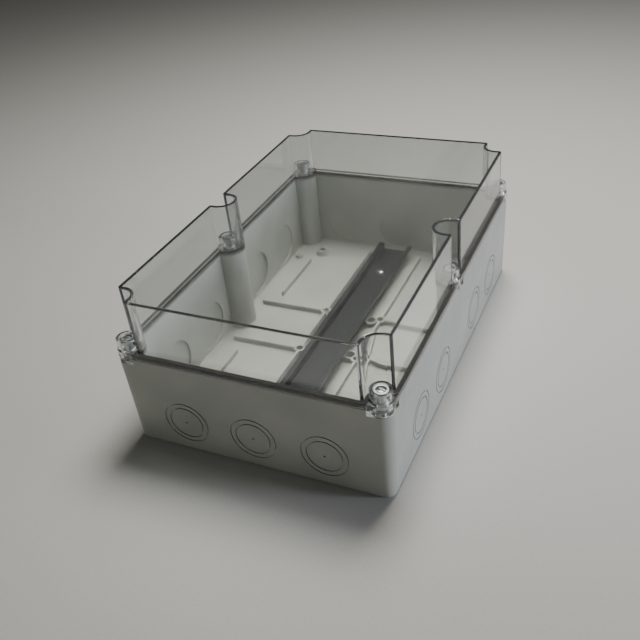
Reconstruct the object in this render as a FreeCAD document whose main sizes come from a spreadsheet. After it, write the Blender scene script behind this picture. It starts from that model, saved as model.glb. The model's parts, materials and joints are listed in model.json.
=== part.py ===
"""Enclosure of a DC combiner box: a grey moulded base with knockouts, a deep clear lid, and a DIN rail.

Millimetres. The origin is the middle of the footprint, +Z is up, +Y runs along the longer side.
The lid lifts off along +Z once its six captive screws are out of the brass inserts in the base.
"""

import FreeCAD, Part
import math
import os
import re
import Sketcher

SIZES = {
    # overall
    "width": (220, "outside, along X, at the rim"),
    "length": (330, "outside, along Y, at the rim"),
    "base_height": (82, "from the feet to the rim"),
    "lid_height": (50.5, "from the rim to the lid's top"),
    "corner_radius": (9, "upright outside corners at the rim"),
    # base
    "draft_inset": (1.7, "how far each side leans in at the foot"),
    "foot_radius": (3, "round along the bottom edge"),
    "wall": (5.2, "base wall at the rim"),
    "inner_corner": (4, "upright corners of the hollow"),
    "inner_floor_round": (2, "round between wall and floor"),
    "recess_depth": (2.5, "underside recess"),
    "foot_width": (12, "rim that the base stands on"),
    "floor_thickness": (3.5, "floor over the recess"),
    "tongue_width": (1.6, "rib on the rim that presses into the gasket"),
    "tongue_height": (1.2, "rib on the rim"),
    # knockouts
    "knockout_height": (28.9, "centres above the feet"),
    "knockout_small": (14.15, "radius of the inner score ring"),
    "knockout_large": (18.5, "radius of the outer score ring"),
    "score_width": (1.1, "width of a score ring"),
    "score_depth": (0.9, "depth of a score ring"),
    "centre_dot": (0.9, "radius of the drill mark"),
    "knockout_pocket": (20.5, "radius of the thinned wall inside"),
    "pocket_depth": (1.6, "how much the wall is thinned"),
    "end_knockout_pitch": (57.6, "along X, on the short sides"),
    "side_knockout_near": (45.5, "from the middle, on the long sides"),
    "side_knockout_far": (101.5, "from the middle, on the long sides"),
    # floor details
    "rib_height": (4.5, "above the floor"),
    "rib_width": (2.4, "thickness of a floor rib"),
    "rib_round": (0.6, "round on a rib's top edges"),
    "long_rib_offset": (27, "from the middle, along X"),
    "long_rib_reach": (143, "from the middle, along Y"),
    "cross_rib_offset": (28.7, "from the middle, along Y"),
    "cross_rib_reach": (94, "from the middle, along X"),
    "short_rib_offset": (81.5, "from the middle, along X"),
    "short_rib_near": (46, "its inner end, along Y"),
    "short_rib_far": (113, "its outer end, along Y"),
    "ring_radius": (5, "ring boss where two ribs cross"),
    "ring_hole": (3.2, "radius"),
    "well_x": (19.5, "hollow boss beside the rail, from the middle"),
    "well_y": (25, "hollow boss beside the rail, from the middle"),
    "well_radius": (5.6, "hollow boss beside the rail"),
    "well_hole": (4.3, "radius"),
    "well_floor": (1.2, "left under its hole, over the recess"),
    "fixing_x": (76, "wall fixing holes from the middle"),
    "fixing_y": (131, "wall fixing holes from the middle"),
    "fixing_foot": (6.8, "radius of a fixing boss at the floor"),
    "fixing_top": (5.3, "radius of a fixing boss at its top"),
    "fixing_boss_height": (5, "above the floor"),
    "fixing_hole": (2.75, "radius, for a 5 mm screw"),
    "fixing_sink": (3.7, "radius, room for the screw's head"),
    "fixing_sink_depth": (3, "below the boss's top"),
    "pip_x": (97, "small plate support from the middle"),
    "pip_y": (118, "small plate support from the middle"),
    "pip_radius": (3.6, "small plate support"),
    "pip_hole": (1.4, "radius"),
    "pip_height": (4, "above the floor"),
    # lid
    "lid_inset": (3.5, "lid wall in from the outside"),
    "lid_wall": (2.6, "lid wall"),
    "lid_top": (2.8, "lid's top plate"),
    "flange_height": (5, "lid's lower flange"),
    "lid_notch_radius": (11, "round notch in the lid about each screw"),
    "mouth_radius": (1.5, "upright edges where a notch meets a side"),
    "lid_edge_round": (1.2, "round along the lid's top edge"),
    "gasket_width": (4, "rubber cord in the flange's groove"),
    "gasket_height": (2, "rubber cord"),
    "gasket_inset": (2.75, "its centre line from the outside"),
    # lid screws
    "screw_inset": (9, "screw axis in from both outsides"),
    "boss_radius": (8, "clear boss about a lid screw"),
    "boss_collar": (8.6, "radius of the boss's foot"),
    "collar_height": (1.6, "above the flange"),
    "boss_height": (13.9, "above the rim"),
    "boss_foot": (4.5, "boss below the rim, let into the base"),
    "foot_gap": (0.3, "round and below a boss's foot"),
    "foot_mouth": (8, "half the width of the gap in the wall before a boss's foot"),
    "head_radius": (5.35, "lid screw's head"),
    "head_clearance": (0.35, "round the head"),
    "head_height": (13.1, "lid screw's head"),
    "head_drop": (0.6, "head below the boss's top"),
    "head_brim": (2.8, "height of the head's top collar"),
    "neck_radius": (3.3, "waist of the head"),
    "head_base": (3.4, "height of the head's bottom collar"),
    "cup_radius": (3.7, "hollow in the head"),
    "cup_depth": (2, "hollow in the head"),
    "hub_radius": (2.7, "slotted hub in the hollow"),
    "hub_drop": (0.7, "hub below the head's top"),
    "slot_width": (1.3, "screwdriver slot"),
    "shank_radius": (2.5, "lid screw's shank, M5"),
    "shank_clearance": (0.2, "round the shank in the lid"),
    "running_gap": (0.05, "between shank and insert"),
    "engaged": (8, "shank inside the insert when shut"),
    "tip_chamfer": (0.7, "end of the shank"),
    "seal_minor": (0.85, "half the thickness of the sealing ring"),
    "seal_gap": (0.1, "between sealing ring and shank"),
    # inserts
    "insert_radius": (3.5, "brass insert"),
    "insert_length": (9, "brass insert"),
    "insert_drop": (5.5, "insert's top below the rim"),
    "insert_groove": (0.4, "depth of its retaining groove"),
    "tip_room": (6, "hole below the insert"),
    # rail
    "rail_end_gap": (10.8, "from each end of the rail to the wall"),
    "rail_width": (35, "over the lips"),
    "rail_channel": (25, "inside the channel"),
    "rail_height": (7.5, "overall"),
    "rail_sheet": (1, "sheet thickness"),
    "rail_bend": (0.8, "bend radius"),
    "rail_screw_offset": (103, "from the middle, along Y"),
    "rail_boss_radius": (5.5, "support under each rail screw"),
    "rail_hole_gap": (0.4, "round the screw in the rail"),
    # rail screws
    "pan_radius": (4.2, "rail screw's head"),
    "pan_height": (2.6, "rail screw's head"),
    "pan_round": (1.4, "round on the head"),
    "tap_radius": (2.1, "rail screw's shank"),
    "tap_length": (6.2, "rail screw's shank"),
    "cross_width": (1, "driver cross"),
    "cross_length": (4.8, "driver cross"),
    "cross_depth": (1.2, "driver cross"),
    # tools of the modelling itself
    "over": (1, "how far a cutting tool stands past a face"),
}

SCREW_PLACES = {
    "front_left": (-1, -1),
    "front_right": (1, -1),
    "middle_left": (-1, 0),
    "middle_right": (1, 0),
    "rear_left": (-1, 1),
    "rear_right": (1, 1),
}
QUADRANTS = [(x, y) for x in (-1, 1) for y in (-1, 1)]
TOLERANCE = 1e-3

doc = FreeCAD.newDocument("dc_combiner_box")
sheet = doc.addObject("Spreadsheet::Sheet", "Sizes")
for row, (alias, (value, note)) in enumerate(SIZES.items(), start=1):
    sheet.set(f"A{row}", note)
    sheet.set(f"B{row}", str(value))
    sheet.setAlias(f"B{row}", alias)
doc.recompute()


def size(alias):
    """A size from the sheet, as a number."""
    return float(sheet.get(alias))


def tied(formula):
    """A formula over the sheet's sizes, with the sheet's name before each of them."""
    return re.sub(r"[a-z]\w+", lambda word: f"Sizes.{word[0]}" if word[0] in SIZES else word[0], str(formula))


def bind(thing, formulas):
    """Ties properties of a thing to formulas, and returns the thing."""
    for name, formula in formulas.items():
        thing.setExpression(name, tied(formula))
    return thing


def stand(thing, foot):
    """Puts a thing's own origin at a point given by three formulas."""
    names = ("Placement.Base.x", "Placement.Base.y", "Placement.Base.z")
    return bind(thing, dict(zip(names, foot)))


def block(name, lengths, corner):
    """A box from its three lengths and its lowest corner, all formulas."""
    box = doc.addObject("Part::Box", name)
    bind(box, dict(zip(("Length", "Width", "Height"), lengths)))
    return stand(box, corner)


def rod(name, radius, height, foot, axis=(0, 0, 1)):
    """A cylinder from its radius, height and foot. Its axis is a plain direction."""
    cylinder = doc.addObject("Part::Cylinder", name)
    bind(cylinder, {"Radius": radius, "Height": height})
    cylinder.Placement.Rotation = FreeCAD.Rotation(FreeCAD.Vector(0, 0, 1), FreeCAD.Vector(*axis))
    return stand(cylinder, foot)


def cone(name, low_radius, high_radius, height, foot):
    """An upright cone frustum."""
    frustum = doc.addObject("Part::Cone", name)
    bind(frustum, {"Radius1": low_radius, "Radius2": high_radius, "Height": height})
    return stand(frustum, foot)


def joined(name, things):
    """Several solids as one."""
    fusion = doc.addObject("Part::MultiFuse", name)
    fusion.Shapes = things
    fusion.Refine = True
    return fusion


def cut(name, base, tool):
    """A solid less another."""
    rest = doc.addObject("Part::Cut", name)
    rest.Base = base
    rest.Tool = tool
    rest.Refine = True
    return rest


def rounded(name, base, radius, chosen):
    """Rounds the edges of a solid for which chosen(edge) is true."""
    doc.recompute()
    picked = [number for number, edge in enumerate(base.Shape.Edges, start=1) if chosen(edge)]
    if not picked:
        raise RuntimeError(f"{name}: no edge to round")
    fillet = doc.addObject("Part::Fillet", name)
    fillet.Base = base
    fillet.Edges = [(number, radius, radius) for number in picked]
    return fillet


def is_upright(edge):
    """True for a straight vertical edge."""
    return abs(edge.BoundBox.XLength) + abs(edge.BoundBox.YLength) < TOLERANCE < edge.BoundBox.ZLength


def lies_at(edge, height):
    """True for an edge wholly at one height."""
    return abs(edge.BoundBox.ZMin - height) < TOLERANCE and edge.BoundBox.ZLength < TOLERANCE


def span(sign, near, far):
    """Low end and length of a stretch between two distances from the middle, on the side of sign."""
    low = f"{near}" if sign > 0 else f"-({far})"
    return low, f"({far}) - ({near})"


def screw_axis(place):
    """Formulas for the x and y of a lid screw."""
    across, along = SCREW_PLACES[place]
    return f"{across} * (width / 2 - screw_inset)", f"{along} * (length / 2 - screw_inset)"


def notched_prism(name, inset, low, high):
    """The box's outline, set in from the sides and led inboard of every screw, between two heights.

    The notch radius grows with the inset, so that prisms of different insets are parallel.
    """
    radius = f"(lid_notch_radius - lid_inset + {inset})"
    foot, tall = f"({low}) - over", f"({high}) - ({low}) + 2 * over"
    plate = block(
        f"{name}_plate",
        (f"width - 2 * ({inset})", f"length - 2 * ({inset})", f"({high}) - ({low})"),
        (f"{inset} - width / 2", f"{inset} - length / 2", low),
    )
    cutters = []
    for place, (across, along) in SCREW_PLACES.items():
        axis_x, axis_y = screw_axis(place)
        cutters.append(rod(f"{name}_{place}_round", radius, tall, (axis_x, axis_y, foot)))
        beyond_x, beyond_y = "width / 2 + over", "length / 2 + over"
        to_side = span(across, "width / 2 - screw_inset", beyond_x)
        if along == 0:
            ends = (f"-{radius}", f"2 * {radius}")
            mouths = {"side": (to_side, ends)}
        else:
            to_end = span(along, "length / 2 - screw_inset", beyond_y)
            mouths = {
                "side": (to_side, span(along, f"length / 2 - screw_inset - {radius}", beyond_y)),
                "end": (span(across, f"width / 2 - screw_inset - {radius}", beyond_x), to_end),
            }
        for side, ((x, x_length), (y, y_length)) in mouths.items():
            cutters.append(block(f"{name}_{place}_{side}", (x_length, y_length, tall), (x, y, foot)))
    prism = cut(f"{name}_prism", plate, joined(f"{name}_notches", cutters))
    half_x, half_y = size("width") / 2, size("length") / 2
    doc.recompute()
    depth = half_x - plate.Shape.BoundBox.XMax
    mouth = size("mouth_radius") + size("lid_inset") - depth
    if mouth < size("over") / 2:
        return prism

    def at_mouth(edge):
        middle = edge.BoundBox.Center
        on_side = abs(abs(middle.x) - half_x + depth) < TOLERANCE
        on_end = abs(abs(middle.y) - half_y + depth) < TOLERANCE
        return is_upright(edge) and (on_side or on_end)

    return rounded(f"{name}_outline", prism, mouth, at_mouth)


def ring_prism(name, centre_inset, breadth, low, high):
    """A rib or a cord that follows the box's outline inboard of the screws."""
    outer = notched_prism(f"{name}_outer", f"({centre_inset} - {breadth} / 2)", low, high)
    inner = notched_prism(
        f"{name}_inner", f"({centre_inset} + {breadth} / 2)", f"{low} - over", f"{high} + over"
    )
    return cut(name, outer, inner)


def draw_rounded_rectangle(sketch, wide, long, radius):
    """A rounded rectangle about the sketch's origin, with its three sizes as formulas."""
    x, y, r = 60.0, 90.0, 5.0
    normal = FreeCAD.Vector(0, 0, 1)
    turns = [(1, 1), (-1, 1), (-1, -1), (1, -1)]
    quarter = math.pi / 2
    arcs = []
    for number, (across, along) in enumerate(turns):
        centre = FreeCAD.Vector(across * (x - r), along * (y - r), 0)
        start = number * quarter
        arcs.append(sketch.addGeometry(Part.ArcOfCircle(Part.Circle(centre, normal, r), start, start + quarter)))
    lines = []
    for number in range(4):
        begin = sketch.Geometry[arcs[number]].EndPoint
        end = sketch.Geometry[arcs[(number + 1) % 4]].StartPoint
        lines.append(sketch.addGeometry(Part.LineSegment(begin, end)))
    for number in range(4):
        sketch.addConstraint(Sketcher.Constraint("Tangent", arcs[number], 2, lines[number], 1))
        sketch.addConstraint(Sketcher.Constraint("Tangent", lines[number], 2, arcs[(number + 1) % 4], 1))
    for number in (1, 2, 3):
        sketch.addConstraint(Sketcher.Constraint("Equal", arcs[0], arcs[number]))
    for number, line in enumerate(lines):
        sketch.addConstraint(Sketcher.Constraint("Vertical" if number % 2 else "Horizontal", line))
    sketch.addConstraint(Sketcher.Constraint("Symmetric", arcs[0], 3, arcs[2], 3, -1, 1))
    driving = {
        "wide": (Sketcher.Constraint("DistanceX", lines[1], 1, lines[3], 1, 2 * x), wide),
        "long": (Sketcher.Constraint("DistanceY", lines[2], 1, lines[0], 1, 2 * y), long),
        "radius": (Sketcher.Constraint("Radius", arcs[0], r), radius),
    }
    for name, (constraint, formula) in driving.items():
        sketch.renameConstraint(sketch.addConstraint(constraint), name)
        sketch.setExpression(f"Constraints.{name}", tied(formula))


def rounded_block(name, wide, long, corner, low, tall, taper="0"):
    """A body: a rounded rectangle padded up from a height, leaning outwards by a taper angle."""
    body = doc.addObject("PartDesign::Body", name)
    sketch = body.newObject("Sketcher::SketchObject", f"{name}_outline")
    plane = next(part for part in body.Origin.OriginFeatures if part.Role == "XY_Plane")
    sketch.AttachmentSupport = [(plane, "")]
    sketch.MapMode = "FlatFace"
    bind(sketch, {"AttachmentOffset.Base.z": low})
    draw_rounded_rectangle(sketch, wide, long, corner)
    pad = body.newObject("PartDesign::Pad", f"{name}_pad")
    pad.Profile = sketch
    bind(pad, {"Length": tall, "TaperAngle": taper})
    doc.recompute()
    return body


def round_bottom(body, radius, low):
    """Rounds the lowest edges of a body."""
    base = body.Tip
    names = [f"Edge{number}" for number, edge in enumerate(base.Shape.Edges, start=1) if lies_at(edge, low)]
    fillet = body.newObject("PartDesign::Fillet", f"{body.Name}_round")
    fillet.Base = (base, names)
    bind(fillet, {"Radius": radius})
    doc.recompute()


def knockout_places():
    """Name, outward direction and formulas for the place along the wall, for every knockout."""
    for end, sign in (("front", -1), ("rear", 1)):
        for step in (-1, 0, 1):
            yield f"{end}_{step + 1}", (0, sign), f"{step} * end_knockout_pitch"
    for side, sign in (("left", -1), ("right", 1)):
        for number, (half, alias) in enumerate(
            ((-1, "side_knockout_far"), (-1, "side_knockout_near"), (1, "side_knockout_near"), (1, "side_knockout_far"))
        ):
            yield f"{side}_{number}", (sign, 0), f"{half} * {alias}"


def knockout_tools():
    """Score rings, drill marks and inside pockets of all knockouts."""
    lean = math.atan(size("draft_inset") / size("base_height"))
    outside = "({half} - draft_inset * (1 - knockout_height / base_height))"
    tools = []
    for name, (across, along), place in knockout_places():
        half = "width / 2" if across else "length / 2"
        face, hollow = outside.format(half=half), f"({half} - wall)"
        outward = (across * math.cos(lean), along * math.cos(lean), -math.sin(lean))

        def at(distance):
            """Foot of a tool whose axis meets the outer face's knockout centre."""
            x = f"{across} * {distance}" if across else place
            y = f"{along} * {distance}" if along else place
            return x, y, "knockout_height"

        for ring, radius in (("small", "knockout_small"), ("large", "knockout_large")):
            body = rod(f"score_{name}_{ring}", f"{radius} + score_width / 2", "over + score_depth",
                       at(f"({face} - score_depth)"), outward)
            core = rod(f"score_{name}_{ring}_core", f"{radius} - score_width / 2", "2 * over + score_depth",
                       at(f"({face} - score_depth)"), outward)
            tools.append(cut(f"score_{name}_{ring}_ring", body, core))
        tools.append(rod(f"mark_{name}", "centre_dot", "over + score_depth",
                         at(f"({face} - score_depth)"), outward))
        tools.append(rod(f"pocket_{name}", "knockout_pocket", "pocket_depth + over",
                         at(f"({hollow} - over)"), (across, along, 0)))
    return tools


def floor_rib(name, lengths, corner):
    """A straight rib on the floor, with its top and end edges rounded."""
    foot = "recess_depth + floor_thickness - over"
    bar = block(name, (*lengths, "rib_height + over"), (*corner, foot))
    doc.recompute()
    top = bar.Shape.BoundBox.ZMax
    limit = 0.45 * min(size("rib_width"), size("rib_height"))
    radius = min(size("rib_round"), limit)
    return rounded(f"{name}_bar", bar, radius, lambda edge: lies_at(edge, top) or is_upright(edge))


def floor_details():
    """Ribs, ring and hollow bosses, wall-fixing bosses and plate supports that stand on the floor."""
    floor = "recess_depth + floor_thickness"
    foot = f"{floor} - over"
    details, holes = [], []
    for sign in (-1, 1):
        details.append(floor_rib(f"long_rib_{sign + 1}", ("rib_width", "2 * long_rib_reach"),
                                 (f"{sign} * long_rib_offset - rib_width / 2", "-long_rib_reach")))
        details.append(floor_rib(f"cross_rib_{sign + 1}", ("2 * cross_rib_reach", "rib_width"),
                                 ("-cross_rib_reach", f"{sign} * cross_rib_offset - rib_width / 2")))
        details.append(rod(f"rail_support_{sign + 1}", "rail_boss_radius", "rib_height + over",
                           ("0", f"{sign} * rail_screw_offset", foot)))
        holes.append(rod(f"rail_pilot_{sign + 1}", "tap_radius", "tap_length + over",
                         ("0", f"{sign} * rail_screw_offset", f"{floor} + rib_height + rail_sheet - tap_length")))
    for across, along in QUADRANTS:
        tag = f"{across + 1}{along + 1}"
        low, length = span(along, "short_rib_near", "short_rib_far")
        details.append(floor_rib(f"short_rib_{tag}", ("rib_width", length),
                                 (f"{across} * short_rib_offset - rib_width / 2", low)))
        crossing = (f"{across} * long_rib_offset", f"{along} * cross_rib_offset")
        details.append(rod(f"ring_{tag}", "ring_radius", "rib_height + over", (*crossing, foot)))
        holes.append(rod(f"ring_hole_{tag}", "ring_hole", "rib_height + over", (*crossing, floor)))
        well = (f"{across} * well_x", f"{along} * well_y")
        details.append(rod(f"well_{tag}", "well_radius", "rib_height + over", (*well, foot)))
        holes.append(rod(f"well_hole_{tag}", "well_hole", "floor_thickness + rib_height + over",
                         (*well, "recess_depth + well_floor")))
        fixing = (f"{across} * fixing_x", f"{along} * fixing_y")
        details.append(cone(f"fixing_{tag}", "fixing_foot", "fixing_top", "fixing_boss_height", (*fixing, floor)))
        holes.append(rod(f"fixing_hole_{tag}", "fixing_hole", f"{floor} + fixing_boss_height + over",
                         (*fixing, "0")))
        holes.append(rod(f"fixing_sink_{tag}", "fixing_sink", "fixing_sink_depth + over",
                         (*fixing, f"{floor} + fixing_boss_height - fixing_sink_depth")))
        pip = (f"{across} * pip_x", f"{along} * pip_y")
        details.append(rod(f"pip_{tag}", "pip_radius", "pip_height + over", (*pip, foot)))
        holes.append(rod(f"pip_hole_{tag}", "pip_hole", "pip_height + over", (*pip, floor)))
    return details, holes


def foot_pocket(place):
    """Room for a boss's foot in the top of its screw column, open through the walls beside it."""
    axis = screw_axis(place)
    floor = "base_height - boss_foot - foot_gap"
    depth = "boss_foot + foot_gap + over"
    rooms = [rod(f"foot_room_{place}", "boss_radius + foot_gap", depth, (*axis, floor))]
    signs = SCREW_PLACES[place]
    reach = "screw_inset + over"
    for out, sign in enumerate(signs):
        if not sign:
            continue
        side = signs[1 - out]
        lengths, corner = [reach, reach], list(axis)
        lengths[1 - out] = f"foot_mouth + {reach}" if side else "2 * foot_mouth"
        if sign < 0:
            corner[out] = f"{axis[out]} - ({reach})"
        corner[1 - out] = f"{axis[1 - out]} - " + (f"({reach})" if side < 0 else "foot_mouth")
        rooms.append(block(f"foot_mouth_{place}_{out}", (*lengths, depth), (*corner, floor)))
    return joined(f"foot_pocket_{place}", rooms)


def make_base():
    """The moulded grey base, with its screw columns, floor details and knockouts."""
    shell = rounded_block("base_block", "width - 2 * draft_inset", "length - 2 * draft_inset",
                          "corner_radius - draft_inset", "0", "base_height", "atan(draft_inset / base_height)")
    round_bottom(shell, "foot_radius", 0)
    floor = "recess_depth + floor_thickness"
    hollow = rounded_block("hollow_block", "width - 2 * wall", "length - 2 * wall", "inner_corner",
                           floor, f"base_height - ({floor}) + over")
    round_bottom(hollow, "inner_floor_round", size("recess_depth") + size("floor_thickness"))
    columns, bores = [], []
    for place in SCREW_PLACES:
        axis = screw_axis(place)
        columns.append(rod(f"column_{place}", "lid_notch_radius + wall - lid_inset", "base_height + 2 * over",
                           (*axis, "0")))
        bores.append(rod(f"insert_bore_{place}", "insert_radius", "insert_drop + insert_length + over",
                         (*axis, "base_height - insert_drop - insert_length")))
        bores.append(rod(f"tip_bore_{place}", "shank_radius + head_clearance", "tip_room + over",
                         (*axis, "base_height - insert_drop - insert_length - tip_room")))
        bores.append(foot_pocket(place))
    underside = rounded_block("underside_block", "width - 2 * draft_inset - 2 * foot_width",
                              "length - 2 * draft_inset - 2 * foot_width", "inner_corner", "-over",
                              "recess_depth + over")
    room = cut("hollow", hollow, joined("columns", columns))
    tongue = ring_prism("tongue", "gasket_inset", "tongue_width", "base_height - over",
                        "base_height + tongue_height")
    tongue_rib = cut("tongue_rib", tongue, block("tongue_trim", ("width", "length", "over"),
                                                 ("-width / 2", "-length / 2", "base_height - over")))
    details, holes = floor_details()
    tray = cut("tray", shell, joined("tray_tools", [room, underside]))
    dressed = joined("dressed_tray", [tray, tongue_rib, *details])
    finished = cut("base_shell", dressed, joined("base_tools", [*holes, *bores, *knockout_tools()]))
    return [finished]


def make_inserts():
    """A threaded brass insert in each screw column."""
    inserts = []
    for place in SCREW_PLACES:
        axis = screw_axis(place)
        foot = "base_height - insert_drop - insert_length"
        bush = rod(f"bush_{place}", "insert_radius", "insert_length", (*axis, foot))
        band = rod(f"band_{place}", "insert_radius + over", "insert_length / 5",
                   (*axis, f"{foot} + 2 * insert_length / 5"))
        waist = rod(f"waist_{place}", "insert_radius - insert_groove", "insert_length / 5 + 2 * over",
                    (*axis, f"{foot} + 2 * insert_length / 5 - over"))
        thread = rod(f"insert_thread_{place}", "shank_radius + running_gap", "insert_length + 2 * over",
                     (*axis, f"{foot} - over"))
        groove = cut(f"insert_groove_{place}", band, waist)
        inserts.append(cut(f"insert_{place}", bush, joined(f"insert_tools_{place}", [groove, thread])))
    return inserts


def make_lid():
    """The clear lid: flange, notched wall, top plate and a boss about each screw."""
    rim, top = "base_height", "base_height + lid_height"
    flange = rounded_block("flange_block", "width", "length", "corner_radius", rim, "flange_height")
    wall = notched_prism("lid_wall", "lid_inset", rim, top)
    doc.recompute()
    crown = wall.Shape.BoundBox.ZMax
    hood = rounded("lid_hood", wall, size("lid_edge_round"), lambda edge: lies_at(edge, crown))
    room = notched_prism("lid_room", "(lid_inset + lid_wall)", f"{rim} - over", f"{top} - lid_top")
    groove = ring_prism("groove", "gasket_inset", "gasket_width", f"{rim} - over",
                        f"{rim} + tongue_height + gasket_height")
    solids, tools = [flange, hood], [room, groove]
    seat = "base_height + boss_height - head_drop - head_height - 2 * seal_minor"
    for place in SCREW_PLACES:
        axis = screw_axis(place)
        solids.append(rod(f"boss_{place}", "boss_radius", "boss_foot + boss_height", (*axis, f"{rim} - boss_foot")))
        solids.append(cone(f"collar_{place}", "boss_collar", "boss_radius", "collar_height",
                           (*axis, f"{rim} + flange_height")))
        tools.append(rod(f"sink_{place}", "head_radius + head_clearance",
                         "head_drop + head_height + 2 * seal_minor + over", (*axis, seat)))
        tools.append(rod(f"shank_hole_{place}", "shank_radius + shank_clearance",
                         "boss_foot + boss_height + 2 * over", (*axis, f"{rim} - boss_foot - over")))
    shell = joined("lid_solids", solids)
    finished = cut("lid_shell", shell, joined("lid_tools", tools))
    gasket = ring_prism("lid_gasket", "gasket_inset", "gasket_width", f"{rim} + tongue_height",
                        f"{rim} + tongue_height + gasket_height")
    return [finished, gasket]


def make_lid_screws():
    """A captive slotted screw and its sealing ring in each boss."""
    pieces = []
    top = "(base_height + boss_height - head_drop)"
    under = f"({top} - head_height)"
    tip = "(base_height - insert_drop - engaged)"
    for place in SCREW_PLACES:
        axis = screw_axis(place)
        brim = rod(f"brim_{place}", "head_radius", "head_brim", (*axis, f"{top} - head_brim"))
        neck = rod(f"neck_{place}", "neck_radius", "head_height", (*axis, under))
        foot = rod(f"head_foot_{place}", "head_radius", "head_base", (*axis, under))
        shank = rod(f"shank_{place}", "shank_radius", f"{under} - {tip} - tip_chamfer + over",
                    (*axis, f"{tip} + tip_chamfer"))
        point = cone(f"point_{place}", "shank_radius - tip_chamfer", "shank_radius", "tip_chamfer", (*axis, tip))
        solid = joined(f"screw_solid_{place}", [brim, neck, foot, shank, point])
        cup = rod(f"cup_{place}", "cup_radius", "cup_depth + over", (*axis, f"{top} - cup_depth"))
        hub = rod(f"hub_{place}", "hub_radius", "cup_depth - hub_drop", (*axis, f"{top} - cup_depth"))
        slot = block(f"slot_{place}", ("2 * cup_radius", "slot_width", "cup_depth + over"),
                     (f"{axis[0]} - cup_radius", f"{axis[1]} - slot_width / 2", f"{top} - cup_depth"))
        cupped = cut(f"cupped_{place}", solid, cut(f"cup_ring_{place}", cup, hub))
        pieces.append(cut(f"lid_screw_{place}", cupped, slot))
        ring = doc.addObject("Part::Torus", f"screw_seal_{place}")
        bind(ring, {"Radius1": "shank_radius + seal_gap + seal_minor", "Radius2": "seal_minor"})
        pieces.append(stand(ring, (*axis, f"{under} - seal_minor")))
    return pieces


def make_rail():
    """The top-hat DIN rail and the two screws that hold it down."""
    seat = "recess_depth + floor_thickness + rib_height"
    long = "(length - 2 * wall - 2 * rail_end_gap)"
    start = f"-{long} / 2"
    outside = "(rail_channel / 2 + rail_sheet)"
    web = block("rail_web", (f"2 * {outside}", long, "rail_sheet"), (f"-{outside}", start, seat))
    sheets = [web]
    for sign in (-1, 1):
        leg = span(sign, "rail_channel / 2", outside)
        lip = span(sign, "rail_channel / 2", "rail_width / 2")
        sheets.append(block(f"rail_leg_{sign + 1}", (leg[1], long, "rail_height"), (leg[0], start, seat)))
        sheets.append(block(f"rail_lip_{sign + 1}", (lip[1], long, "rail_sheet"),
                            (lip[0], start, f"{seat} + rail_height - rail_sheet")))
    section = joined("rail_section", sheets)
    channel, outer = size("rail_channel") / 2, size("rail_channel") / 2 + size("rail_sheet")

    def is_bend(edge):
        box = edge.BoundBox
        along = box.YLength > section.Shape.BoundBox.YLength / 2
        return along and min(abs(abs(box.Center.x) - channel), abs(abs(box.Center.x) - outer)) < TOLERANCE

    bent = rounded("rail_bent", section, min(size("rail_bend"), 0.9 * size("rail_sheet")), is_bend)
    holes, screws = [], []
    top = f"({seat} + rail_sheet)"
    for name, sign in (("front", -1), ("rear", 1)):
        place = ("0", f"{sign} * rail_screw_offset")
        holes.append(rod(f"rail_hole_{name}", "tap_radius + rail_hole_gap", "rail_sheet + 2 * over",
                         (*place, f"{seat} - over")))
        head = rod(f"pan_{name}", "pan_radius", "pan_height", (*place, top))
        doc.recompute()
        crown = head.Shape.BoundBox.ZMax
        limit = min(size("pan_round"), 0.9 * size("pan_height"), 0.9 * size("pan_radius"))
        pan = rounded(f"pan_head_{name}", head, limit, lambda edge: lies_at(edge, crown))
        shank = rod(f"tap_{name}", "tap_radius", "tap_length + over", (*place, f"{top} - tap_length"))
        solid = joined(f"rail_screw_solid_{name}", [pan, shank])
        arms = [
            block(f"cross_{name}_{turn}", (x_length, y_length, "cross_depth + over"),
                  (f"-({x_length}) / 2", f"{place[1]} - ({y_length}) / 2", f"{top} + pan_height - cross_depth"))
            for turn, (x_length, y_length) in enumerate(
                (("cross_length", "cross_width"), ("cross_width", "cross_length")))
        ]
        screws.append(cut(f"rail_screw_{name}", solid, joined(f"cross_{name}", arms)))
    return [cut("din_rail", bent, joined("rail_holes", holes)), *screws]


pieces = [*make_base(), *make_inserts(), *make_lid(), *make_lid_screws(), *make_rail()]
doc.recompute()

for thing in doc.Objects:
    if {"Invalid", "Error"} & set(thing.State):
        raise RuntimeError(f"{thing.Name} is in error: {thing.State}")

os.makedirs("parts", exist_ok=True)
for piece in pieces:
    piece.Label = piece.Name
    shape = piece.Shape
    if shape.isNull() or not shape.isValid() or len(shape.Solids) != 1:
        raise RuntimeError(f"{piece.Label}: not one valid solid")
    print(f"{piece.Label}: {shape.Volume / 1000:.2f} cm3")
    shape.exportStep(f"parts/{piece.Label}.step")
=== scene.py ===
"""The looks of a DC combiner box: a grey moulded base, a deep clear lid on six screws, and a DIN rail.

Lengths are in metres in the part's own frame, and sizes that a maker would quote are in millimetres.
"""

import json
import logging
import math
from contextlib import contextmanager
from dataclasses import dataclass, field
from enum import Enum
from typing import Callable, Iterator, Sequence

import bmesh
import bpy
from mathutils import Matrix, Vector

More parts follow.
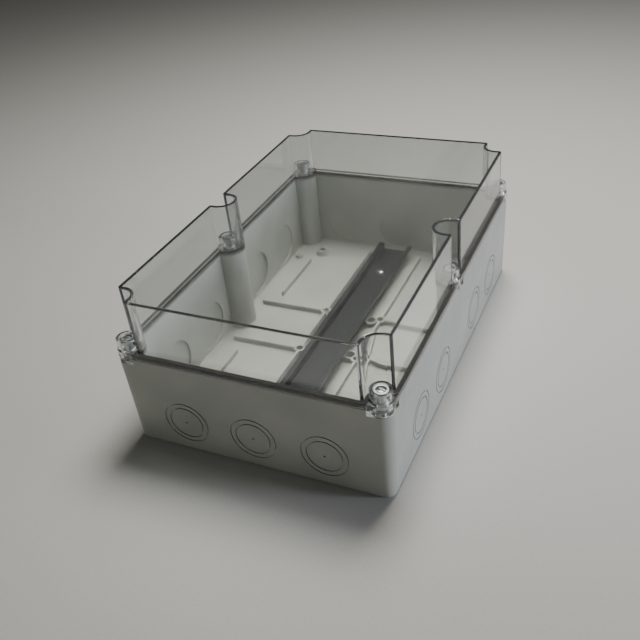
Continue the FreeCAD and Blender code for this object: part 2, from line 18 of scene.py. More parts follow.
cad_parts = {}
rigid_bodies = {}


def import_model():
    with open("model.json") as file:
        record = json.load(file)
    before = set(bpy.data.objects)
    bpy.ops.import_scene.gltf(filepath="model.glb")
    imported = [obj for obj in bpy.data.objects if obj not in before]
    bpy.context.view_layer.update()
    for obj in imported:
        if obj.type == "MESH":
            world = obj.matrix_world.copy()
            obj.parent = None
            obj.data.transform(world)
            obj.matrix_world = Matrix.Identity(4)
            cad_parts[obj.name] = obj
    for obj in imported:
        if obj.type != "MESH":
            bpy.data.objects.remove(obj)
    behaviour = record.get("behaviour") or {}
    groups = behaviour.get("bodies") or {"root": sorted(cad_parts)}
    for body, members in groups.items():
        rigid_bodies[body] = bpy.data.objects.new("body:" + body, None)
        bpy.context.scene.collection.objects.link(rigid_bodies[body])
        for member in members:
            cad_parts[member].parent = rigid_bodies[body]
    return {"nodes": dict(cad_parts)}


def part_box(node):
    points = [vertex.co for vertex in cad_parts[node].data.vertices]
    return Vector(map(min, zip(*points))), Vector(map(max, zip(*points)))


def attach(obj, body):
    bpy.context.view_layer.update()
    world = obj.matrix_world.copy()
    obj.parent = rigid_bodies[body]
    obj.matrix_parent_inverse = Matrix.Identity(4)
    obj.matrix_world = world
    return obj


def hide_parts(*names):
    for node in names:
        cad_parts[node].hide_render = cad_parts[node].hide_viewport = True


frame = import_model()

LOG = logging.getLogger("combiner_box")
MM = 0.001
NOISE_MIDDLE = (0.3, 0.7)
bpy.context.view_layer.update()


# ---------------------------------------------------------------- colour and nodes


def linear(code: str) -> tuple[float, float, float, float]:
    """Turns an sRGB hex colour into a linear one.

    Args:
        code: six hex digits, such as "c8ccc8".

    Returns:
        Linear red, green and blue, with an alpha of 1.
    """
    values = [int(code[start : start + 2], 16) / 255 for start in (0, 2, 4)]
    bright = [v / 12.92 if v <= 0.04045 else ((v + 0.055) / 1.055) ** 2.4 for v in values]
    return (bright[0], bright[1], bright[2], 1.0)


def add_node(tree: bpy.types.NodeTree, kind: str, values: dict | None = None,
             links: dict | None = None, **settings: object) -> bpy.types.Node:
    """Adds one shader node.

    Args:
        tree: the material's or world's node tree.
        kind: the node's class, such as "ShaderNodeTexNoise".
        values: socket name or number to its constant value.
        links: socket name or number to the output socket that drives it.
        settings: attributes of the node itself.

    Returns:
        The new node.
    """
    node = tree.nodes.new(kind)
    for name, setting in settings.items():
        setattr(node, name, setting)
    for name, value in (values or {}).items():
        node.inputs[name].default_value = value
    for name, source in (links or {}).items():
        tree.links.new(source, node.inputs[name])
    return node


def stops(ramp: bpy.types.Node, places: Sequence[tuple[float, Sequence[float]]]) -> None:
    """Sets a colour ramp's first and last stops.

    Args:
        ramp: a ShaderNodeValToRGB.
        places: two pairs of position and linear colour.
    """
    for element, (place, colour) in zip(ramp.color_ramp.elements, places):
        element.position = place
        element.color = colour


# ---------------------------------------------------------------- finishes


@dataclass(frozen=True)
class Finish:
    """What every finish has: a name and a way to make its material."""

    name: str

    def material(self) -> bpy.types.Material:
        """Makes the material, with its surface left to dress()."""
        made = bpy.data.materials.new(self.name)
        made.use_nodes = True
        tree = made.node_tree
        shader = tree.nodes["Principled BSDF"]
        place = add_node(tree, "ShaderNodeTexCoord").outputs["Object"]
        self.dress(tree, shader, place)
        return made

    def dress(self, tree: bpy.types.NodeTree, shader: bpy.types.Node, place: bpy.types.NodeSocket) -> None:
        """Sets the shader up.

        Args:
            tree: the material's node tree.
            shader: its Principled BSDF.
            place: Object coordinates, in metres.
        """
        raise NotImplementedError


def grain(tree: bpy.types.NodeTree, place: bpy.types.NodeSocket, size_mm: float,
          detail: float = 3.0, stretch: tuple[float, float, float] = (1, 1, 1)) -> bpy.types.NodeSocket:
    """A noise whose lumps are of a real size.

    Args:
        tree: the material's node tree.
        place: Object coordinates, in metres.
        size_mm: the size of a lump.
        detail: octaves of finer noise.
        stretch: how many times closer together the lumps are along X, Y and Z.

    Returns:
        The noise's 0 to 1 output.
    """
    turned = add_node(tree, "ShaderNodeMapping", {"Scale": stretch}, {"Vector": place})
    noise = add_node(tree, "ShaderNodeTexNoise", {"Scale": 1 / (size_mm * MM), "Detail": detail},
                     {"Vector": turned.outputs[0]})
    return noise.outputs["Fac"]


def between(tree: bpy.types.NodeTree, source: bpy.types.NodeSocket, low: float,
            high: float) -> bpy.types.NodeSocket:
    """Spreads the middle of a noise over a range of values.

    Args:
        tree: the material's node tree.
        source: a noise of 0 to 1.
        low: the value where the noise is low.
        high: the value where it is high.

    Returns:
        The mapped value.
    """
    low_end, high_end = NOISE_MIDDLE
    spread = add_node(tree, "ShaderNodeMapRange", links={"Value": source}, values={
        "From Min": low_end, "From Max": high_end, "To Min": low, "To Max": high,
    })
    return spread.outputs["Result"]


def edge_wear_and_highlight(tree: bpy.types.NodeTree, colour: bpy.types.NodeSocket, edge: str, share: float,
         reach_mm: float = 0.5, flat_above: float = 0.985, sharp_below: float = 0.8) -> bpy.types.NodeSocket:
    """Lightens a colour along edges: rubbed wear where handling rubs them, and on the rail a painted
    highlight along its bends and lips.

    Args:
        tree: the material's node tree.
        colour: the colour of the flat parts.
        edge: the sRGB hex colour of a rubbed edge, or of a painted highlight along an edge.
        share: how much of it shows on the sharpest edge.
        reach_mm: how far from the edge the lightening reaches.
        flat_above: how alike the true and the rounded normal are where nothing is lightened.
        sharp_below: how alike they are where an edge is fully lightened.

    Returns:
        The colour with its edges lightened.
    """
    flat = add_node(tree, "ShaderNodeNewGeometry").outputs["Normal"]
    round_off = add_node(tree, "ShaderNodeBevel", {"Radius": reach_mm * MM}, samples=6).outputs["Normal"]
    likeness = add_node(tree, "ShaderNodeVectorMath", links={0: flat, 1: round_off}, operation="DOT_PRODUCT")
    # Mask of edges to lighten: rubbed wear on most finishes, a painted highlight on the rail's bends and
    # lips.
    edge_wear_and_highlight_mask = add_node(tree, "ShaderNodeMapRange", links={"Value": likeness.outputs["Value"]}, values={
        "From Min": flat_above, "From Max": sharp_below, "To Min": 0.0, "To Max": share,
    })
    mixed = add_node(tree, "ShaderNodeMixRGB", {"Color2": linear(edge)},
                     {"Fac": edge_wear_and_highlight_mask.outputs["Result"], "Color1": colour})
    return mixed.outputs["Color"]


def relief(tree: bpy.types.NodeTree, shader: bpy.types.Node,
           layers: Sequence[tuple[bpy.types.NodeSocket, float, float]]) -> None:
    """Stacks bumps on a shader's normal.

    Args:
        tree: the material's node tree.
        shader: its Principled BSDF.
        layers: height socket, strength and depth in millimetres, for each layer.
    """
    normal = None
    for height, strength, depth_mm in layers:
        bump = add_node(tree, "ShaderNodeBump", {"Strength": strength, "Distance": depth_mm * MM},
                        {"Height": height})
        if normal is not None:
            tree.links.new(normal, bump.inputs["Normal"])
        normal = bump.outputs["Normal"]
    tree.links.new(normal, shader.inputs["Normal"])


@dataclass(frozen=True)
class MouldedPolycarbonate(Finish):
    """Opaque light grey polycarbonate, injection moulded in a spark-eroded tool.

    The eye sees a fine even stipple, a soft broad sheen, faint flow clouds and a little handling dust.
    """

    colour: str = "a4a6a1"
    cloud: str = "999c97"
    edge: str = "b9bbb6"
    stipple_mm: float = 0.45
    cloud_mm: float = 45.0
    scuff_mm: float = 6.0

    def dress(self, tree: bpy.types.NodeTree, shader: bpy.types.Node, place: bpy.types.NodeSocket) -> None:
        """Sets the shader up."""
        ramp = add_node(tree, "ShaderNodeValToRGB", links={"Fac": grain(tree, place, self.cloud_mm)})
        stops(ramp, [(0.35, linear(self.cloud)), (0.65, linear(self.colour))])
        tree.links.new(edge_wear_and_highlight(tree, ramp.outputs["Color"], self.edge, 0.6), shader.inputs["Base Color"])
        scuffs = grain(tree, place, self.scuff_mm, 6.0, (1.0, 0.35, 1.0))
        tree.links.new(between(tree, scuffs, 0.42, 0.5), shader.inputs["Roughness"])
        shader.inputs["IOR"].default_value = 1.58
        relief(tree, shader, [(grain(tree, place, self.stipple_mm, 2.0), 0.35, 0.05),
                              (grain(tree, place, self.cloud_mm, 1.0), 0.1, 0.3)])


@dataclass(frozen=True)
class ClearPolycarbonate(Finish):
    """Clear polycarbonate from a polished tool.

    The eye sees through it almost untinted, darker where it looks along a wall, with dark edges, hair-fine
    handling scratches and a trace of unevenness from moulding.
    """

    tint: str = "f4f6f5"
    smoke: str = "979bb4"
    smoke_per_m: float = 10.0
    lamp_share: str = "f5f6f6"
    clear_share: float = 0.985
    wave_mm: float = 38.0
    scratch_mm: float = 1.2

    def dress(self, tree: bpy.types.NodeTree, shader: bpy.types.Node, place: bpy.types.NodeSocket) -> None:
        """Sets the shader up."""
        shader.inputs["Base Color"].default_value = linear(self.tint)
        shader.inputs["Transmission Weight"].default_value = self.clear_share
        shader.inputs["IOR"].default_value = 1.58
        scratches = grain(tree, place, self.scratch_mm, 5.0, (1.0, 0.06, 1.0))
        tree.links.new(between(tree, scratches, 0.0, 0.05), shader.inputs["Roughness"])
        relief(tree, shader, [(grain(tree, place, self.wave_mm, 1.0), 0.05, 0.2)])
        end = tree.nodes["Material Output"]
        path = add_node(tree, "ShaderNodeLightPath")
        lamp = add_node(tree, "ShaderNodeBsdfTransparent", {"Color": linear(self.lamp_share)})
        seen = add_node(tree, "ShaderNodeMixShader",
                        links={0: path.outputs["Is Shadow Ray"], 1: shader.outputs[0], 2: lamp.outputs[0]})
        tree.links.new(seen.outputs[0], end.inputs["Surface"])
        smoke = add_node(tree, "ShaderNodeVolumeAbsorption",
                         {"Color": linear(self.smoke), "Density": self.smoke_per_m})
        tree.links.new(smoke.outputs[0], end.inputs["Volume"])


@dataclass(frozen=True)
class FoamedRubber(Finish):
    """Black cellular rubber, extruded: a dull skin with open pores."""

    colour: str = "5a5655"
    pore: str = "3c3939"
    pore_mm: float = 0.5

    def dress(self, tree: bpy.types.NodeTree, shader: bpy.types.Node, place: bpy.types.NodeSocket) -> None:
        """Sets the shader up."""
        pores = grain(tree, place, self.pore_mm, 4.0)
        ramp = add_node(tree, "ShaderNodeValToRGB", links={"Fac": pores})
        stops(ramp, [(0.3, linear(self.pore)), (0.7, linear(self.colour))])
        tree.links.new(ramp.outputs["Color"], shader.inputs["Base Color"])
        tree.links.new(between(tree, pores, 0.95, 0.75), shader.inputs["Roughness"])
        relief(tree, shader, [(pores, 0.6, 0.1)])


@dataclass(frozen=True)
class PlatedMetal(Finish):
    """Metal with a thin plating over turned, rolled or stamped steel, or plain turned brass.

    The eye sees a cool or warm gleam, fine machining lines and slightly uneven plating.
    """

    colour: str = "c9ccce"
    shade: str = "a9adb0"
    patch_mm: float = 3.0
    line_mm: float = 0.25
    stretch: tuple[float, float, float] = (0.1, 0.1, 4.0)
    # Edge colour: rubbed wear on screws and inserts; the rail's value is a painted highlight.
    edge: str = "eceded"
    smooth: float = 0.2
    rough: float = 0.36
    line_depth: float = 0.02
    bare: float = 1.0

    def dress(self, tree: bpy.types.NodeTree, shader: bpy.types.Node, place: bpy.types.NodeSocket) -> None:
        """Sets the shader up."""
        shader.inputs["Metallic"].default_value = self.bare
        patches = grain(tree, place, self.patch_mm, 4.0)
        ramp = add_node(tree, "ShaderNodeValToRGB", links={"Fac": patches})
        stops(ramp, [(0.3, linear(self.shade)), (0.7, linear(self.colour))])
        # Lighter edges: rubbed wear, and on the rail a painted highlight along its bends and lips.
        tree.links.new(edge_wear_and_highlight(tree, ramp.outputs["Color"], self.edge, 0.5), shader.inputs["Base Color"])
        tree.links.new(between(tree, patches, self.rough, self.smooth), shader.inputs["Roughness"])
        lines = grain(tree, place, self.line_mm, 2.0, self.stretch)
        relief(tree, shader, [(lines, 0.4, self.line_depth)])


@dataclass(frozen=True)
class StudioFloor(Finish):
    """Pale seamless paper, matt, with faint fibres."""

    colour: str = "dadbda"
    shade: str = "d2d3d2"
    fibre_mm: float = 2.0
    roughness: float = 0.85

    def dress(self, tree: bpy.types.NodeTree, shader: bpy.types.Node, place: bpy.types.NodeSocket) -> None:
        """Sets the shader up."""
        fibres = grain(tree, place, self.fibre_mm, 4.0)
        ramp = add_node(tree, "ShaderNodeValToRGB", links={"Fac": fibres})
        stops(ramp, [(0.2, linear(self.shade)), (0.8, linear(self.colour))])
        tree.links.new(ramp.outputs["Color"], shader.inputs["Base Color"])
        shader.inputs["Roughness"].default_value = self.roughness


class Slot(Enum):
    """The record's material slots, each with its finish."""

    BASE = ("base_grey", MouldedPolycarbonate("moulded_grey_polycarbonate"))
    LID = ("lid_clear", ClearPolycarbonate("clear_polycarbonate"))
    GASKET = ("gasket_rubber", FoamedRubber("cellular_rubber"))
    LID_SCREW = ("screw_metal", PlatedMetal("nickel_plated_steel", colour="cfd0d1", shade="b2b4b6",
                                            smooth=0.26, rough=0.42))
    SEAL = ("seal_rubber", FoamedRubber("seal_rubber", colour="2b2b2d", pore="1d1d1f", pore_mm=0.3))
    INSERT = ("brass", PlatedMetal("turned_brass", colour="c9a35a", shade="ad8642", edge="dcbd7c"))
    # The rail's edge colour is a painted highlight: its bends and lips are lightened where light catches
    # them.
    RAIL = ("rail_steel", PlatedMetal("dark_passivated_steel", colour="2b2f32", shade="23272a", edge="7c8083",
                                      patch_mm=9.0, line_mm=0.8, stretch=(4.0, 0.05, 1.0),
                                      smooth=0.38, rough=0.5, bare=0.65))
    RAIL_SCREW = ("rail_screw_steel", PlatedMetal("zinc_plated_steel", colour="cfd3d6", shade="b4b9bd"))

    def __init__(self, slot: str, finish: Finish) -> None:
        self.slot = slot
        self.finish = finish

    def material(self) -> bpy.types.Material:
        """The finish's material, made the first time it is asked for."""
        return bpy.data.materials.get(self.finish.name) or self.finish.material()


# ---------------------------------------------------------------- modelling by hand


def deselect() -> None:
    """Deselects every object."""
    for thing in bpy.data.objects:
        thing.select_set(False)


@contextmanager
def editing(thing: bpy.types.Object) -> Iterator[None]:
    """Opens one object in edit mode with nothing in it selected, and closes it again."""
    deselect()
    thing.select_set(True)
    bpy.context.view_layer.objects.active = thing
    bpy.ops.object.mode_set(mode="EDIT")
    bpy.ops.mesh.select_all(action="DESELECT")
    yield
    bpy.ops.object.mode_set(mode="OBJECT")


def choose(thing: bpy.types.Object, kind: str, test: Callable[[object], bool]) -> int:
    """Selects the vertices, edges or faces of an object in edit mode that pass a test.

    Args:
        thing: the object in edit mode.
        kind: "VERT", "EDGE" or "FACE".
        test: takes the BMesh element and says whether it is wanted.

    Returns:
        How many were selected.
    """
    bpy.ops.mesh.select_mode(type=kind)
    shape = bmesh.from_edit_mesh(thing.data)
    parts = {"VERT": shape.verts, "EDGE": shape.edges, "FACE": shape.faces}[kind]
    chosen = [part for part in parts if test(part)]
    for part in chosen:
        part.select_set(True)
    shape.select_flush_mode()
    bmesh.update_edit_mesh(thing.data)
    return len(chosen)


def settle(thing: bpy.types.Object) -> bpy.types.Object:
    """Applies an object's place to its mesh, so that the object sits at the origin."""
    deselect()
    thing.select_set(True)
    bpy.context.view_layer.objects.active = thing
    bpy.ops.object.transform_apply(location=True, rotation=True, scale=True)
    return thing


def turned(name: str, stations: Sequence[tuple[float, float]], segments: int = 48) -> bpy.types.Object:
    """Turns a solid on its own Z axis, as on a lathe.

    Args:
        name: the object's name.
        stations: radius and height in millimetres from the bottom up.
        segments: sides of the circle.

    Returns:
        The solid, with flat ends.
    """
    (radius, height), *rest = stations
    deselect()
    bpy.ops.mesh.primitive_circle_add(vertices=segments, radius=radius * MM, fill_type="NGON",
                                      location=(0, 0, height * MM))
    thing = settle(bpy.context.object)
    thing.name = name
    with editing(thing):
        bpy.ops.mesh.select_all(action="SELECT")
        for next_radius, next_height in rest:
            rise = (0, 0, (next_height - height) * MM)
            bpy.ops.mesh.extrude_region_move(TRANSFORM_OT_translate={"value": rise})
            share = next_radius / radius
            bpy.ops.transform.resize(value=(share, share, 1))
            radius, height = next_radius, next_height
        bpy.ops.mesh.select_all(action="SELECT")
        bpy.ops.mesh.normals_make_consistent(inside=False)
    return thing


def carve(thing: bpy.types.Object, tool: bpy.types.Object, operation: str = "DIFFERENCE") -> None:
    """Cuts one object with another, or joins them, and uses the tool up."""
    deselect()
    bpy.context.view_layer.objects.active = thing
    thing.select_set(True)
    step = thing.modifiers.new("carve", "BOOLEAN")
    step.operation = operation
    step.solver = "EXACT"
    step.object = tool
    bpy.ops.object.modifier_apply(modifier=step.name)
    bpy.data.objects.remove(tool)


def soften(thing: bpy.types.Object, width_mm: float, segments: int = 2, angle: float = 35.0) -> None:
    """Rounds an object's sharp edges with a bevel modifier, and shades it smooth."""
    deselect()
    bpy.context.view_layer.objects.active = thing
    thing.select_set(True)
    step = thing.modifiers.new("soften", "BEVEL")
    step.width = width_mm * MM
    step.segments = segments
    step.limit_method = "ANGLE"
    step.angle_limit = math.radians(angle)
    step.use_clamp_overlap = True
    bpy.ops.object.modifier_apply(modifier=step.name)
    bpy.ops.object.shade_smooth_by_angle(angle=math.radians(angle))


def add_block(name: str, lengths_mm: Sequence[float], centre_mm: Sequence[float]) -> bpy.types.Object:
    """A box primitive at its size and place, to be shaped further or used as a tool."""
    deselect()
    bpy.ops.mesh.primitive_cube_add(size=1, location=[MM * value for value in centre_mm])
    thing = bpy.context.object
    thing.name = name
    thing.scale = [MM * value for value in lengths_mm]
    return settle(thing)


def thread(radius_mm: float, pitch_mm: float, low_mm: float, high_mm: float,
           depth_mm: float, steps: int = 24) -> bpy.types.Object:
    """A helical thread ridge about the Z axis, closed at both ends.

    Args:
        radius_mm: the shank's radius, in which the ridge is rooted.
        pitch_mm: rise per turn.
        low_mm: where the ridge starts.
        high_mm: where it ends.
        depth_mm: how far the ridge stands proud of its root.
        steps: straight pieces in one turn.

    Returns:
        The ridge.
    """
    foot_share = 0.84
    root, half = (radius_mm - depth_mm) * MM, foot_share / 2 * pitch_mm * MM
    low = low_mm * MM + half
    deselect()
    bpy.ops.mesh.primitive_circle_add(vertices=3, radius=half, fill_type="NOTHING")
    ridge = bpy.context.object
    ridge.name = "thread"
    corners = [(root, low - half), (radius_mm * MM, low), (root, low + half)]
    for vertex, (across, height) in zip(ridge.data.vertices, corners):
        vertex.co = (across, 0, height)
    turns = max(1, round((high_mm - low_mm) / pitch_mm - 1))
    step = ridge.modifiers.new("helix", "SCREW")
    step.axis = "Z"
    step.screw_offset = pitch_mm * MM
    step.iterations = turns
    step.steps = step.render_steps = steps
    step.use_merge_vertices = False
    bpy.ops.object.modifier_apply(modifier=step.name)
    with editing(ridge):
        choose(ridge, "EDGE", lambda edge: edge.is_boundary)
        bpy.ops.mesh.fill_holes(sides=0)
        bpy.ops.mesh.select_all(action="SELECT")
        bpy.ops.mesh.normals_make_consistent(inside=False)
    return ridge


def join(name: str, parts: Sequence[bpy.types.Object]) -> bpy.types.Object:
    """Joins objects into the first one, under a new name."""
    deselect()
    for part in parts:
        part.select_set(True)
    bpy.context.view_layer.objects.active = parts[0]
    bpy.ops.object.join()
    parts[0].name = name
    return parts[0]


def copy_at(source: bpy.types.Object, name: str, offset: Vector, turn_deg: float = 0.0) -> bpy.types.Object:
    """Copies a finished piece, with its own mesh, to another place.

    Args:
        source: the piece, modelled about the Z axis.
        name: the copy's name.
        offset: where the piece's own origin goes, in metres.
        turn_deg: how far it is turned about its own axis.

    Returns:
        The copy, with its place in its mesh.
    """
    made = bpy.data.objects.new(name, source.data.copy())
    bpy.context.scene.collection.objects.link(made)
    made.data.transform(Matrix.Translation(offset) @ Matrix.Rotation(math.radians(turn_deg), 4, "Z"))
    return made


def dress(thing: bpy.types.Object, slot: Slot, body: str, replaced: str) -> None:
    """Gives a new piece its finish and its body, and hides the CAD node that it stands for."""
    thing.data.materials.clear()
    thing.data.materials.append(slot.material())
    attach(thing, body)
    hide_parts(replaced)
    LOG.info("%s rides on %s, %d faces", thing.name, body, len(thing.data.polygons))


def axis_of(node: str) -> Vector:
    """The middle of a round node's footprint, at its lowest height, in metres."""
    low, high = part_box(node)
    return Vector(((low[0] + high[0]) / 2, (low[1] + high[1]) / 2, low[2]))


# ---------------------------------------------------------------- sub-assemblies


class Place(Enum):
    """Where the lid is screwed down, and how each screw's slot happens to stand, in degrees."""

    FRONT_LEFT = 24.0
    FRONT_RIGHT = -12.0
    MIDDLE_LEFT = 61.0
    MIDDLE_RIGHT = -48.0
    REAR_LEFT = 8.0
    REAR_RIGHT = 83.0

    @property
    def tag(self) -> str:
        """The place as node names spell it."""
        return self.name.lower()


@dataclass
class LidScrews:
    """Six captive screws with waisted heads, each on its sealing ring, and the inserts they hold in."""

    head_radius: float = 5.35
    neck_radius: float = 3.3
    head_height: float = 13.1
    brim: float = 2.8
    head_foot: float = 3.4
    crown_round: float = 0.35
    collar_round: float = 0.3
    foot_round: float = 0.25
    neck_step: float = 0.15
    cup_radius: float = 3.7
    cup_depth: float = 2.0
    lip: float = 0.2
    hub_radius: float = 2.7
    hub_drop: float = 0.7
    slot_width: float = 1.3
    shank_radius: float = 2.5
    pitch: float = 0.8
    thread_depth: float = 0.42
    run_out: float = 2.2
    fade: float = 0.3
    tip: float = 0.7
    seal_flat_share: float = 0.75
    seal_squeeze: float = 0.2
    insert_radius: float = 3.5
    insert_lead: float = 0.5
    insert_groove: float = 0.4
    bore_gap: float = 0.05
    knurl_depth: float = 0.25
    knurls: int = 36

    def screw(self, length: float) -> bpy.types.Object:
        """Models one screw with its tip at the origin.

        Args:
            length: from tip to the head's top, in millimetres.

        Returns:
            The screw.
        """
        under, rim = length - self.head_height, length - self.crown_round
        core, edge = self.shank_radius - self.thread_depth, self.collar_round
        collar_top, brim_foot = under + self.head_foot, length - self.brim
        body = turned("lid_screw", [
            (core - self.tip, 0), (core, self.tip), (core, under - self.run_out),
            (self.shank_radius, under - self.run_out + self.fade), (self.shank_radius, under),
            (self.head_radius - self.foot_round, under), (self.head_radius, under + edge),
            (self.head_radius, collar_top - edge), (self.head_radius - edge, collar_top),
            (self.neck_radius, collar_top + self.neck_step), (self.neck_radius, brim_foot - self.neck_step),
            (self.head_radius - edge, brim_foot), (self.head_radius, brim_foot + edge),
            (self.head_radius, rim), (self.head_radius - self.crown_round, length),
            (self.cup_radius + self.lip, length), (self.cup_radius, length - self.lip),
            (self.cup_radius, length - self.cup_depth), (self.hub_radius, length - self.cup_depth),
            (self.hub_radius, length - self.hub_drop - self.lip),
            (self.hub_radius - self.lip, length - self.hub_drop),
        ])
        slot = add_block("slot", (2 * self.cup_radius, self.slot_width, 2 * self.cup_depth),
                         (0, 0, length + 0.001))
        carve(body, slot)
        soften(body, 0.08, 1)
        ridge_end = under - self.run_out + self.lip
        ridge = thread(self.shank_radius, self.pitch, self.tip, ridge_end, self.thread_depth)
        return join("lid_screw", [body, ridge])

    def seal(self, minor: float, major: float) -> bpy.types.Object:
        """Models one sealing ring, squeezed flat where it is held, with its foot at the origin."""
        deselect()
        bpy.ops.mesh.primitive_torus_add(major_radius=major * MM, minor_radius=minor * MM,
                                         major_segments=48, minor_segments=20, location=(0, 0, minor * MM))
        ring = settle(bpy.context.object)
        with editing(ring):
            for side in (-1, 1):
                choose(ring, "VERT", lambda v, side=side: side * (v.co.z - minor * MM)
                       > self.seal_flat_share * minor * MM)
                bpy.ops.transform.resize(value=(1, 1, self.seal_squeeze))
                bpy.ops.mesh.select_all(action="DESELECT")
        deselect()
        ring.select_set(True)
        bpy.context.view_layer.objects.active = ring
        bpy.ops.object.shade_smooth_by_angle(angle=math.radians(50))
        return ring

    def insert(self, length: float) -> bpy.types.Object:
        """Models one knurled brass insert with its foot at the origin."""
        r, bore = self.insert_radius, self.shank_radius + self.bore_gap
        band, groove, flank = length / 5, self.insert_groove, 0.1
        waist = r - groove
        body = turned("insert", [
            (r - self.insert_lead, 0), (r, self.insert_lead), (r, 2 * band), (waist, 2 * band + flank),
            (waist, 3 * band - flank), (r, 3 * band), (r, length - groove), (waist, length),
            (bore + groove, length), (bore, length - groove), (bore, groove), (bore + flank, flank / 2),
        ], segments=2 * self.knurls)
        step = math.tau / (2 * self.knurls)
        with editing(body):
            choose(body, "FACE", lambda face: abs(face.normal.z) > 0.99 and len(face.verts) > 8)
            bpy.ops.mesh.delete(type="ONLY_FACE")
            choose(body, "EDGE", lambda edge: edge.is_boundary)
            bpy.ops.mesh.bridge_edge_loops()
            bpy.ops.mesh.select_all(action="DESELECT")
            outer = (r - self.bore_gap) * MM

            def in_knurl(vertex: bmesh.types.BMVert) -> bool:
                turn = round(math.atan2(vertex.co.y, vertex.co.x) / step)
                return vertex.co.to_2d().length > outer and turn % 2 == 1

            choose(body, "VERT", in_knurl)
            share = 1 - self.knurl_depth / r
            bpy.ops.transform.resize(value=(share, share, 1))
            bpy.ops.mesh.select_all(action="SELECT")
            bpy.ops.mesh.normals_make_consistent(inside=False)
        deselect()
        body.select_set(True)
        bpy.context.view_layer.objects.active = body
        bpy.ops.object.shade_smooth_by_angle(angle=math.radians(25))
        return body

    def build(self) -> None:
        """Models each kind of piece once and sets a copy at every place."""
        low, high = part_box("lid_screw_front_left")
        screw = self.screw((high[2] - low[2]) / MM)
        low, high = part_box("screw_seal_front_left")
        minor = (high[2] - low[2]) / 2 / MM
        seal = self.seal(minor, (high[0] - low[0]) / 2 / MM - minor)
        low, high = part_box("insert_front_left")
        insert = self.insert((high[2] - low[2]) / MM)
        for place in Place:
            tag = place.tag
            made = copy_at(screw, f"slotted_screw_{tag}", axis_of(f"lid_screw_{tag}"), place.value)
            dress(made, Slot.LID_SCREW, f"screw_{tag}", f"lid_screw_{tag}")
            ring = copy_at(seal, f"sealing_ring_{tag}", axis_of(f"screw_seal_{tag}"))
            dress(ring, Slot.SEAL, f"seal_{tag}", f"screw_seal_{tag}")
            bush = copy_at(insert, f"knurled_insert_{tag}", axis_of(f"insert_{tag}"))
            dress(bush, Slot.INSERT, "base", f"insert_{tag}")
        for pattern in (screw, seal, insert):
            bpy.data.objects.remove(pattern)


@dataclass
class RailScrews:
    """Two pan-head screws with driver crosses, which hold the rail down."""

    head_radius: float = 4.2
    head_height: float = 2.6
    shank_radius: float = 2.1
    pitch: float = 1.6
    thread_depth: float = 0.6
    cross_width: float = 1.0
    cross_length: float = 4.8
    cross_depth: float = 1.2
    brim: float = 0.7
    edge: float = 0.2
    point_radius: float = 0.5
    point_length: float = 1.6
    turns: dict[str, float] = field(default_factory=lambda: {"front": 20.0, "rear": 55.0})

    def screw(self, length: float) -> bpy.types.Object:
        """Models one screw with its tip at the origin, `length` millimetres to the crown."""
        under = length - self.head_height
        core = self.shank_radius - self.thread_depth
        dome = self.head_height - self.brim
        crown = [(math.cos(t) * self.head_radius, under + self.brim + dome * math.sin(t))
                 for t in (math.radians(degrees) for degrees in range(12, 84, 12))]
        body = turned("rail_screw", [
            (self.point_radius, 0), (core, self.point_length), (core, under - 0.8),
            (self.shank_radius - 0.1, under), (self.head_radius - self.edge, under),
            (self.head_radius, under + self.edge), (self.head_radius, under + self.brim),
            *crown, (0.9, length - 0.02), (0.1, length),
        ])
        for lengths in ((self.cross_length, self.cross_width), (self.cross_width, self.cross_length)):
            carve(body, add_block("cross", (*lengths, 2 * self.cross_depth), (0, 0, length)))
        soften(body, 0.06, 1)
        ridge = thread(self.shank_radius, self.pitch, self.thread_depth, under - self.edge, self.thread_depth)
        return join("rail_screw", [body, ridge])

    def build(self) -> None:
        """Models the screw once and sets it at both places."""
        low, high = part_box("rail_screw_front")
        screw = self.screw((high[2] - low[2]) / MM)
        for place, turn in self.turns.items():
            made = copy_at(screw, f"pan_head_screw_{place}", axis_of(f"rail_screw_{place}"), turn)
            dress(made, Slot.RAIL_SCREW, "base", f"rail_screw_{place}")
        bpy.data.objects.remove(screw)


@dataclass
class Mouldings:
    """The pieces whose CAD shapes are shown as they are, with their finishes."""

    slots: dict[str, Slot] = field(default_factory=lambda: {
        "base_shell": Slot.BASE,
        "lid_shell": Slot.LID,
        "lid_gasket": Slot.GASKET,
        "din_rail": Slot.RAIL,
    })

    def build(self) -> None:
        """Gives each node its material."""
        for node, slot in self.slots.items():
            piece = frame["nodes"][node]
            piece.data.materials.clear()
            piece.data.materials.append(slot.material())
            LOG.info("%s keeps its CAD shape, %d faces", node, len(piece.data.polygons))


# ---------------------------------------------------------------- studio


@dataclass(frozen=True)
class Lamp:
    """A soft square lamp: its place in metres, side in metres, power in watts and sRGB hex colour."""

    name: str
    place: tuple[float, float, float]
    size: float
    power: float
    colour: str

    def hang(self, target: Vector) -> None:
        """Hangs the lamp so that it looks at a point, in metres."""
        data = bpy.data.lights.new(self.name, "AREA")
        data.size = self.size
        data.energy = self.power
        data.color = linear(self.colour)[:3]
        made = bpy.data.objects.new(self.name, data)
        made.location = self.place
        made.rotation_euler = (target - Vector(self.place)).to_track_quat("-Z", "Y").to_euler()
        bpy.context.scene.collection.objects.link(made)


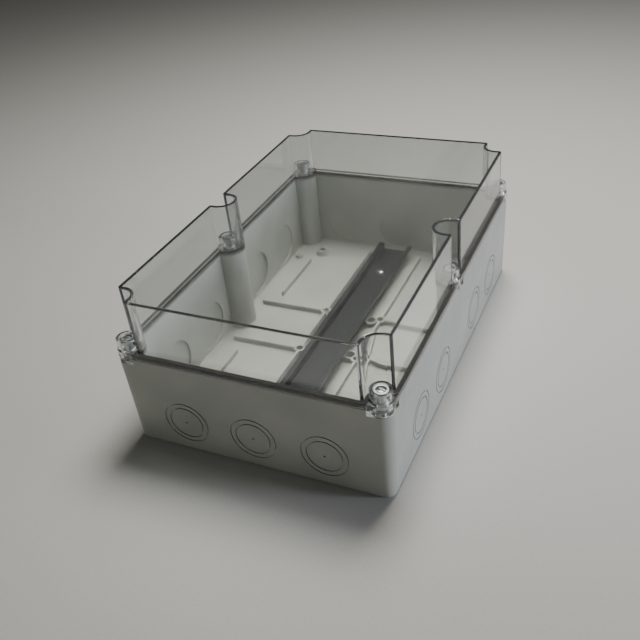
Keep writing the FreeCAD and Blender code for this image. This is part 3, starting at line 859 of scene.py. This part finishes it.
@dataclass
class Studio:
    """A pale floor, the camera, and soft lamps: warm from above, cool from the right, weak in front."""

    camera_place: tuple[float, float, float] = (0.2570, -0.52525, 0.42984)
    azimuth: float = 27.761
    elevation: float = 34.533
    roll: float = -6.745
    lens_mm: float = 45.01
    sensor_mm: float = 36.0
    floor_size: float = 8.0
    world: str = "97968f"
    world_strength: float = 0.14
    lit_point: tuple[float, float, float] = (0, 0, 0.06)
    lamps: tuple[Lamp, ...] = (
        Lamp("top_lamp", (0.04, 0.36, 0.98), 0.45, 10.4, "fffaf0"),
        Lamp("side_lamp", (1.3, 0.12, 0.12), 0.22, 12.5, "eef1ff"),
        Lamp("front_lamp", (-0.25, -1.3, 0.11), 0.2, 1.3, "fffdf4"),
    )

    def build(self) -> None:
        """Sets the stage, the lamps, the world and the camera."""
        deselect()
        bpy.ops.mesh.primitive_plane_add(size=self.floor_size)
        floor = bpy.context.object
        floor.name = "studio_floor"
        floor.data.materials.append(StudioFloor("pale_paper").material())
        for lamp in self.lamps:
            lamp.hang(Vector(self.lit_point))
        world = bpy.data.worlds.new("studio")
        world.use_nodes = True
        shade = world.node_tree.nodes["Background"]
        shade.inputs["Color"].default_value = linear(self.world)
        shade.inputs["Strength"].default_value = self.world_strength
        bpy.context.scene.world = world
        data = bpy.data.cameras.new("camera")
        data.lens = self.lens_mm
        data.sensor_width = self.sensor_mm
        camera = bpy.data.objects.new("camera", data)
        tilt = Matrix.Rotation(math.radians(90 - self.elevation), 4, "X")
        around = Matrix.Rotation(math.radians(self.azimuth), 4, "Z")
        rolled = Matrix.Rotation(math.radians(self.roll), 4, "Z")
        camera.matrix_world = Matrix.Translation(self.camera_place) @ around @ tilt @ rolled
        bpy.context.scene.collection.objects.link(camera)
        bpy.context.scene.camera = camera


def main() -> None:
    """Builds the studio and every piece, and logs face counts as each assembly is done."""
    logging.basicConfig(level=logging.INFO, format="%(message)s")
    Studio().build()
    for assembly in (Mouldings(), LidScrews(), RailScrews()):
        assembly.build()
        LOG.info("%s done", type(assembly).__name__)


if __name__ == "__main__":
    main()
